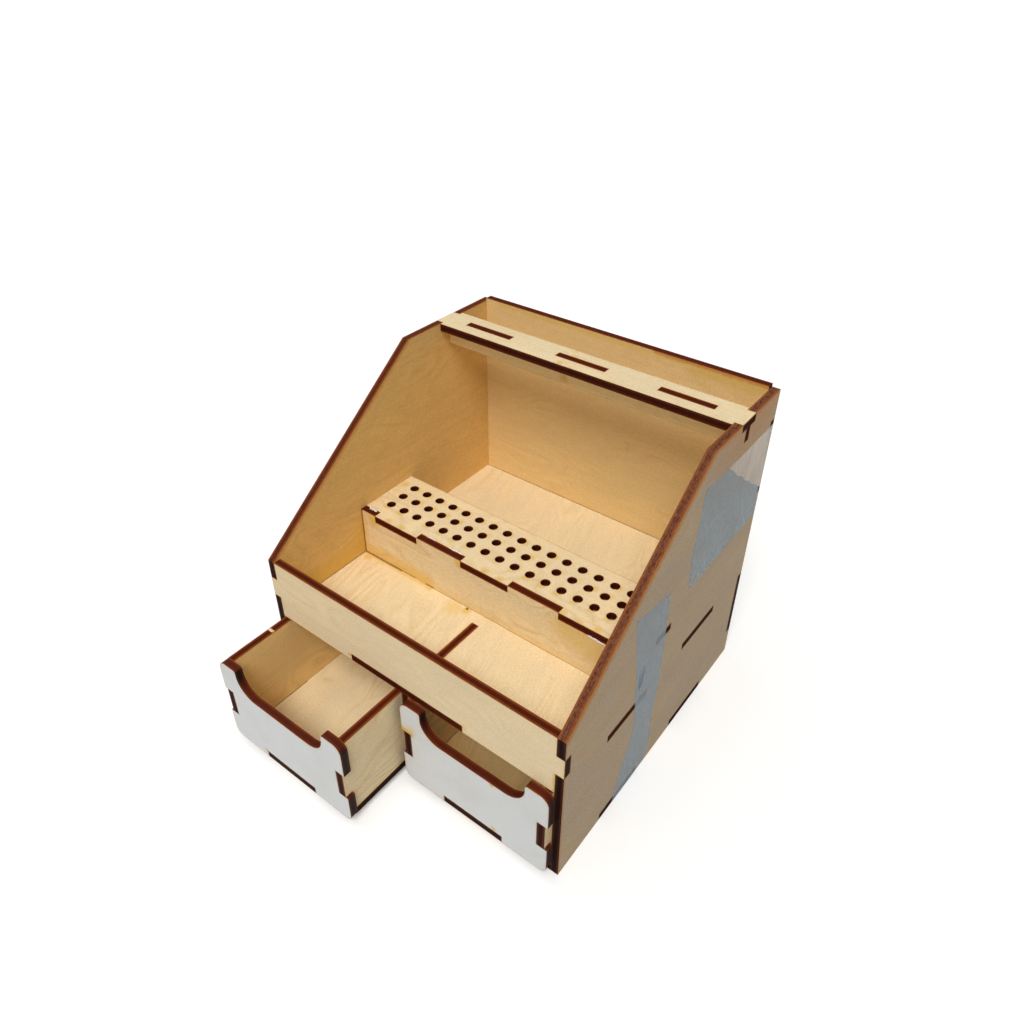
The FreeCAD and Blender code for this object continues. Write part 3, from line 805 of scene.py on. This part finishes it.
# strip: (kind of film, how scratched it is, rows from its lower to its upper end), where a row goes
#        from one border to the other, as (y, z) too
FILM_STRIPS = {
    "film_front_strip": ("cool", 0.3, [
        ((37.0, 0.6), (61.8, 0.6)), ((38.6, 5.9), (63.5, 6.6)), ((40.1, 12.8), (63.9, 13.0)),
        ((42.5, 17.6), (63.6, 19.5)), ((44.8, 23.5), (63.8, 25.0)), ((46.9, 29.4), (63.9, 30.0)),
        ((47.8, 35.6), (64.3, 37.3)), ((46.9, 45.1), (64.8, 44.7)), ((45.6, 54.9), (64.9, 53.1)),
        ((44.8, 62.9), (65.0, 61.3)), ((43.3, 72.0), (64.6, 69.9)), ((41.3, 85.5), (64.2, 80.0)),
        ((39.6, 96.2), (63.8, 91.5))]),
    "film_rear_strip": ("cool", 0.6, [
        ((79.9, 81.2), (137.5, 81.6)), ((78.6, 90.0), (137.2, 88.0)),
        *zip(((77.8, 96.9), (78.2, 100.0), (78.5, 103.0), (79.0, 107.0), (79.4, 110.0),
              (80.1, 114.2), (80.1, 117.5), (80.1, 121.0), (81.2, 126.2)), MEETING)]),
    "film_upper_strip": ("dull", 0.6, [
        (corner, (137.9, height)) for corner, height in zip(MEETING, (
            95.9, 100.4, 103.0, 107.0, 110.0, 114.0, 117.0, 120.5, 125.0))]),
}
CREASES = [band((71.6, 50.5, 64.4), (71.6, 48.4, 55.9), 0.7, 0.7)]
FILM_COLUMNS = 10
FILM_STEPS = 3  # between two rows
RIPPLES = (0.31, 0.23)  # radians for each millimetre along Y and along Z


def film_material(name, kind, scratched, settings):
    """Hazy clear film, scratched along its length."""
    material, recipe, shader = new_material(name)
    place = recipe.millimetres()
    scratch = recipe.noise(place, (0.3, 0.85, 0.14), 4.0, 0.65, 0.3)
    cloud = recipe.noise(place, (0.05, 0.05, 0.05), 2.0, 0.5)
    light = recipe.plus(
        recipe.between(scratch, 0.3, 0.75, 1 - 0.2 * scratched, 1 + 0.1 * scratched),
        recipe.between(cloud, 0.3, 0.7, -0.05, 0.05))
    # partly painted reflection: the haze colour carries the film's reflected tint, on top of its
    # real gloss
    colour = recipe.dim(tuple(getattr(settings, kind)), light)
    ragged = recipe.minus(scratch, 0.5)
    recipe.feed(shader.inputs["Base Color"], recipe.blend(
        stain_mask(recipe, CREASES, ragged), colour, settings.crease))
    haze = getattr(settings, kind + "_haze")
    cover = recipe.plus(
        recipe.between(scratch, 0.35, 0.75, -0.05 * scratched, 0.1 * scratched),
        recipe.between(cloud, 0.3, 0.7, haze - 0.04, haze + 0.04))
    recipe.feed(shader.inputs["Alpha"], cover)
    shader.inputs["Roughness"].default_value = 0.3
    shader.inputs["Specular IOR Level"].default_value = 0.5
    recipe.bump(shader, scratch, 0.3 * scratched, 0.1)
    return material


def film_mesh(name, rows, face_x, settings):
    """A thin closed sheet over the rows that ripples a little and follows their ragged ends."""
    outline = []
    for first, second in zip(rows, rows[1:]):
        for step in range(FILM_STEPS):
            outline.append([Vector(a).lerp(Vector(b), step / FILM_STEPS)
                            for a, b in zip(first, second)])
    outline.append([Vector(point) for point in rows[-1]])
    shape = bmesh.new()
    layers = []
    for lift in (0.0, settings.thickness):
        layer = []
        for left, right in outline:
            row = []
            for column in range(FILM_COLUMNS + 1):
                y, z = left.lerp(right, column / FILM_COLUMNS)
                ripple = 0.6 + 0.4 * math.sin(y * RIPPLES[0]) * math.sin(z * RIPPLES[1] + 1.1)
                row.append(shape.verts.new(
                    (face_x + settings.wrinkle * ripple + lift, y * MM, z * MM)))
            layer.append(row)
        layers.append(layer)
    under, over = layers
    last = len(outline) - 1
    for i in range(last):
        for j in range(FILM_COLUMNS):
            for layer in layers:
                shape.faces.new((layer[i][j], layer[i][j + 1], layer[i + 1][j + 1],
                                 layer[i + 1][j]))
        for j in (0, FILM_COLUMNS):
            shape.faces.new((under[i][j], under[i + 1][j], over[i + 1][j], over[i][j]))
    for j in range(FILM_COLUMNS):
        for i in (0, last):
            shape.faces.new((under[i][j], under[i][j + 1], over[i][j + 1], over[i][j]))
    return finished_mesh(name, shape)


class ORGANIZER_OT_film(bpy.types.Operator):
    """Lay the strips of clear film on the right side panel"""
    bl_idname = "organizer.film"
    bl_label = "Clear film"

    def execute(self, context):
        settings = context.scene.organizer_film
        face_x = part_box("right_side")[1].x
        for name, (kind, scratched, rows) in FILM_STRIPS.items():
            material = film_material(name + "_film", kind, scratched, settings)
            add_piece(name, film_mesh(name, rows, face_x, settings), material,
                      "cabinet")
        return {"FINISHED"}


# --- Glue ---

# bead: (points along it, widest width, upward direction of the surface it lies on)
GLUE_BEADS = {
    "glue_corner_finger": ([(-66.6, 50.9, 73.3), (-64.8, 50.2, 73.3), (-63.0, 50.4, 73.3),
                            (-61.2, 50.0, 73.3)], 1.5, (0, 0, 1)),
    "glue_plate_joint_left": ([(-32.7, 50.7, 73.3), (-30.5, 50.8, 73.3), (-28.2, 50.7, 73.3)],
                              0.6, (0, 0, 1)),
    "glue_plate_joint_right": ([(-21.4, 50.75, 73.3), (-18.4, 50.8, 73.3), (-15.6, 50.75, 73.3),
                                (-13.4, 50.65, 73.3)], 0.85, (0, 0, 1)),
    "glue_plate_underside": ([(49.0, 47.2, 69.8), (51.5, 47.2, 69.5), (54.5, 47.2, 69.3),
                              (57.5, 47.2, 69.2)], 1.3, (0, -1, 0)),
}
BEAD_STEPS = 6  # between two points
BEAD_SIDES = 8  # faces over the top of a bead
SINK = 0.02 * MM  # how deep beads and nibs reach into the wood


def glue_material(glue):
    material, recipe, shader = new_material("dried_glue")
    cloud = recipe.noise(recipe.millimetres(), (0.9, 0.9, 0.9), 3.0, 0.6)
    light = recipe.between(cloud, 0.3, 0.8, 1.0, 0.86)
    recipe.feed(shader.inputs["Base Color"], recipe.dim(tuple(glue.white), light))
    shader.inputs["Roughness"].default_value = 0.32
    shader.inputs["Subsurface Weight"].default_value = 0.15
    shader.inputs["Subsurface Scale"].default_value = 0.3 * MM
    recipe.bump(shader, cloud, 0.4, 0.08)
    return material


def glue_mesh(name, points, width, upward, height, draw):
    """A flattened bead along the points, uneven in width, thinning out to both ends."""
    up = Vector(upward)
    path = [Vector(point) * MM for point in points]
    stations = []
    for first, second in zip(path, path[1:]):
        stations += [first.lerp(second, step / BEAD_STEPS) for step in range(BEAD_STEPS)]
    stations.append(path[-1])
    shape = bmesh.new()
    rings = []
    for index, centre in enumerate(stations):
        ahead = stations[min(index + 1, len(stations) - 1)] - stations[max(index - 1, 0)]
        side = ahead.cross(up).normalized()
        fullness = math.sin(math.pi * (index + 0.6) / (len(stations) + 0.2)) ** 0.5
        half = width * MM / 2 * fullness * draw.uniform(0.7, 1.1)
        top = height * fullness * draw.uniform(0.75, 1.05)
        sway = side * draw.uniform(-0.12, 0.12) * width * MM
        ring = []
        for step in range(BEAD_SIDES + 1):
            angle = math.pi * step / BEAD_SIDES
            ring.append(shape.verts.new(centre + sway + side * half * math.cos(angle)
                                        + up * (top * math.sin(angle) - SINK)))
        rings.append(ring)
    for first, second in zip(rings, rings[1:]):
        for step in range(BEAD_SIDES):
            shape.faces.new((first[step], first[step + 1], second[step + 1], second[step]))
        shape.faces.new((first[-1], first[0], second[0], second[-1]))
    shape.faces.new(rings[0])
    shape.faces.new(reversed(rings[-1]))
    mesh = finished_mesh(name, shape)
    mesh.shade_smooth()
    return mesh


class ORGANIZER_OT_glue(bpy.types.Operator):
    """Add the beads of dried glue on the bit holder"""
    bl_idname = "organizer.glue"
    bl_label = "Dried glue"

    def execute(self, context):
        glue = context.scene.organizer_glue
        material = glue_material(glue)
        draw = random.Random(glue.seed)
        for name, (points, width, upward) in GLUE_BEADS.items():
            mesh = glue_mesh(name, points, width, upward, glue.height, draw)
            add_piece(name, mesh, material, "cabinet")
        return {"FINISHED"}


# --- Nibs ---

# nib: (centre on the cut edge, size along the edge, size across it, direction along the edge,
#       direction out of the edge, body)
NIBS = {
    "nib_left_drawer_side": ((-66.1, -8.6, 45.9), 1.4, 2.9, (0, 1, 0), (0, 0, 1), "left_drawer"),
    "nib_front_lip": ((-28.6, 1.3, 48.3), 1.6, 2.4, (0, 0, 1), (1, 0, 0), "cabinet"),
}
NIB_STEPS = 8


def nib_material(plywood):
    """Torn, unburnt birch."""
    material, recipe, shader = new_material("torn_birch")
    fibre = recipe.noise(recipe.millimetres(), (3.0, 0.8, 3.0), 3.0, 0.6)
    colour = recipe.blend(recipe.between(fibre, 0.35, 0.7), plywood.cream, plywood.scorch)
    recipe.feed(shader.inputs["Base Color"], colour)
    shader.inputs["Roughness"].default_value = 0.7
    recipe.bump(shader, fibre, 0.6, 0.1)
    return material


def nib_mesh(name, centre, length, width, along, outward, height, draw):
    """A low chip with sloped ends and a torn top."""
    run, out = Vector(along), Vector(outward)
    side = run.cross(out)
    centre = Vector(centre) * MM
    shape = bmesh.new()
    grid = []
    for i in range(NIB_STEPS + 1):
        line = []
        for j in range(NIB_STEPS + 1):
            u, v = i / NIB_STEPS - 0.5, j / NIB_STEPS - 0.5
            inner = 0 < i < NIB_STEPS and 0 < j < NIB_STEPS
            lift = height * draw.uniform(0.45, 1.0) * (1 - (2 * u) ** 4) if inner else -SINK
            shift = run * (u * length * MM * (0.96 if inner else 1.0)) + side * (v * width * MM)
            line.append(shape.verts.new(centre + shift + out * lift))
        grid.append(line)
    for i in range(NIB_STEPS):
        for j in range(NIB_STEPS):
            shape.faces.new((grid[i][j], grid[i + 1][j], grid[i + 1][j + 1], grid[i][j + 1]))
    border = ([row[0] for row in grid[:-1]] + grid[-1][:-1]
              + [row[-1] for row in grid[:0:-1]] + grid[0][:0:-1])
    shape.faces.new(reversed(border))
    return finished_mesh(name, shape)


class ORGANIZER_OT_nibs(bpy.types.Operator):
    """Add the unburnt nibs on the cut edges"""
    bl_idname = "organizer.nibs"
    bl_label = "Nibs"

    def execute(self, context):
        nibs = context.scene.organizer_nibs
        material = nib_material(context.scene.organizer_plywood)
        draw = random.Random(nibs.seed)
        for name, (centre, length, width, along, outward, body) in NIBS.items():
            mesh = nib_mesh(name, centre, length, width, along, outward, nibs.height, draw)
            add_piece(name, mesh, material, body)
        return {"FINISHED"}


# --- Stage ---

CAMERA_PLACE = Vector((155.931, -140.690, 290.196)) * MM
CAMERA_RIGHT = (0.79698867, 0.60394638, 0.00760464)
CAMERA_UP = (-0.34832397, 0.44930163, 0.82267761)
CAMERA_BACK = (0.49343639, -0.65831362, 0.56845731)
CAMERA_SHIFT = (-0.002888, -0.038918)

# lamp: (direction that it shines from, degrees that it covers)
LAMPS = {
    "key": ((-0.14, -0.25, 0.96), 50),
    "fill": ((0.25, -0.50, 0.83), 25),
}
LAMP_COLOUR = (1.0, 0.985, 0.955)
AMBIENT_COLOUR = (0.96, 0.98, 1.0)
BACKGROUND = (1.0, 1.0, 1.0)


def seen_directly(recipe):
    """1 for rays that show a background: from the camera, in a reflection or through glass."""
    path = recipe.add("ShaderNodeLightPath").outputs
    bounced = recipe.larger(path["Is Glossy Ray"], path["Is Transmission Ray"])
    return recipe.larger(path["Is Camera Ray"], bounced)


def make_floor(stage):
    """A pale floor that keeps the object's shadow and throws little light back up."""
    shape = bmesh.new()
    bmesh.ops.create_circle(shape, cap_ends=True, segments=96, radius=stage.floor_radius)
    mesh = bpy.data.meshes.new("floor")
    shape.to_mesh(mesh)
    shape.free()
    floor = bpy.data.objects.new("floor", mesh)
    bpy.context.scene.collection.objects.link(floor)
    material, recipe, shader = new_material("floor_paper")
    seen = seen_directly(recipe)
    recipe.feed(shader.inputs["Base Color"], recipe.blend(seen, stage.floor_bounce, stage.floor))
    recipe.feed(shader.inputs["Emission Color"], stage.floor)
    recipe.feed(shader.inputs["Emission Strength"], recipe.times(seen, stage.floor_glow))
    shader.inputs["Roughness"].default_value = 0.95
    shader.inputs["Specular IOR Level"].default_value = 0.0
    mesh.materials.append(material)


def make_light(stage):
    for name, (direction, degrees) in LAMPS.items():
        lamp = bpy.data.lights.new(name + "_lamp", "SUN")
        lamp.energy = getattr(stage, name)
        lamp.angle = math.radians(degrees)
        lamp.color = LAMP_COLOUR
        lamp_object = bpy.data.objects.new(name + "_lamp", lamp)
        lamp_object.rotation_euler = Vector(direction).to_track_quat("Z", "Y").to_euler()
        bpy.context.scene.collection.objects.link(lamp_object)
    world = bpy.data.worlds.new("studio")
    world.use_nodes = True
    bpy.context.scene.world = world
    recipe = Recipe(world.node_tree)
    background = recipe.add("ShaderNodeBackground")
    seen = seen_directly(recipe)
    recipe.feed(background.inputs["Color"], recipe.blend(seen, AMBIENT_COLOUR, BACKGROUND))
    recipe.feed(background.inputs["Strength"], recipe.between(seen, 0.0, 1.0, stage.ambient, 1.0))
    output = recipe.add("ShaderNodeOutputWorld")
    recipe.feed(output.inputs["Surface"], background.outputs[0])


def make_camera(stage):
    camera = bpy.data.cameras.new("camera")
    camera.sensor_width = 36.0
    camera.lens = stage.lens
    camera.shift_x, camera.shift_y = CAMERA_SHIFT
    camera.clip_start = 0.01
    camera_object = bpy.data.objects.new("camera", camera)
    turned = Matrix((CAMERA_RIGHT, CAMERA_UP, CAMERA_BACK)).transposed().to_4x4()
    camera_object.matrix_world = Matrix.Translation(CAMERA_PLACE) @ turned
    bpy.context.scene.collection.objects.link(camera_object)
    bpy.context.scene.camera = camera_object


class ORGANIZER_OT_stage(bpy.types.Operator):
    """Set up the floor, the soft light and the camera"""
    bl_idname = "organizer.stage"
    bl_label = "Stage"

    def execute(self, context):
        stage = context.scene.organizer_stage
        make_floor(stage)
        make_light(stage)
        make_camera(stage)
        context.scene.view_settings.view_transform = "Standard"
        return {"FINISHED"}


# --- Panel and registration ---

SETTINGS = {
    "organizer_plywood": PlywoodSettings,
    "organizer_fronts": FrontSettings,
    "organizer_film": FilmSettings,
    "organizer_glue": GlueSettings,
    "organizer_nibs": NibSettings,
    "organizer_stage": StageSettings,
}
OPERATORS = (ORGANIZER_OT_cabinet, ORGANIZER_OT_bit_holder, ORGANIZER_OT_tool_rack,
             ORGANIZER_OT_drawers, ORGANIZER_OT_film, ORGANIZER_OT_glue, ORGANIZER_OT_nibs,
             ORGANIZER_OT_stage)


class ORGANIZER_PT_sidebar(bpy.types.Panel):
    """Lists the pieces of the organizer and their sizes and colours"""
    bl_idname = "ORGANIZER_PT_sidebar"
    bl_label = "Workstation organizer"
    bl_space_type = "VIEW_3D"
    bl_region_type = "UI"
    bl_category = "Organizer"

    def draw(self, context):
        for operator in OPERATORS:
            self.layout.operator(operator.bl_idname)
        for name, group in SETTINGS.items():
            box = self.layout.box()
            box.label(text=group.__doc__)
            for prop in group.__annotations__:
                box.prop(getattr(context.scene, name), prop)


def register():
    for group in SETTINGS.values():
        bpy.utils.register_class(group)
    for name, group in SETTINGS.items():
        setattr(bpy.types.Scene, name, PointerProperty(type=group))
    for item in (*OPERATORS, ORGANIZER_PT_sidebar):
        bpy.utils.register_class(item)


def unregister():
    for item in (ORGANIZER_PT_sidebar, *reversed(OPERATORS)):
        bpy.utils.unregister_class(item)
    for name in SETTINGS:
        delattr(bpy.types.Scene, name)
    for group in reversed(SETTINGS.values()):
        bpy.utils.unregister_class(group)


def main():
    register()
    bpy.ops.organizer.stage()
    bpy.ops.organizer.cabinet()
    bpy.ops.organizer.bit_holder()
    bpy.ops.organizer.tool_rack()
    bpy.ops.organizer.drawers()
    bpy.ops.organizer.film()
    bpy.ops.organizer.glue()
    bpy.ops.organizer.nibs()
    bpy.context.view_layer.update()


if __name__ == "__main__":
    main()
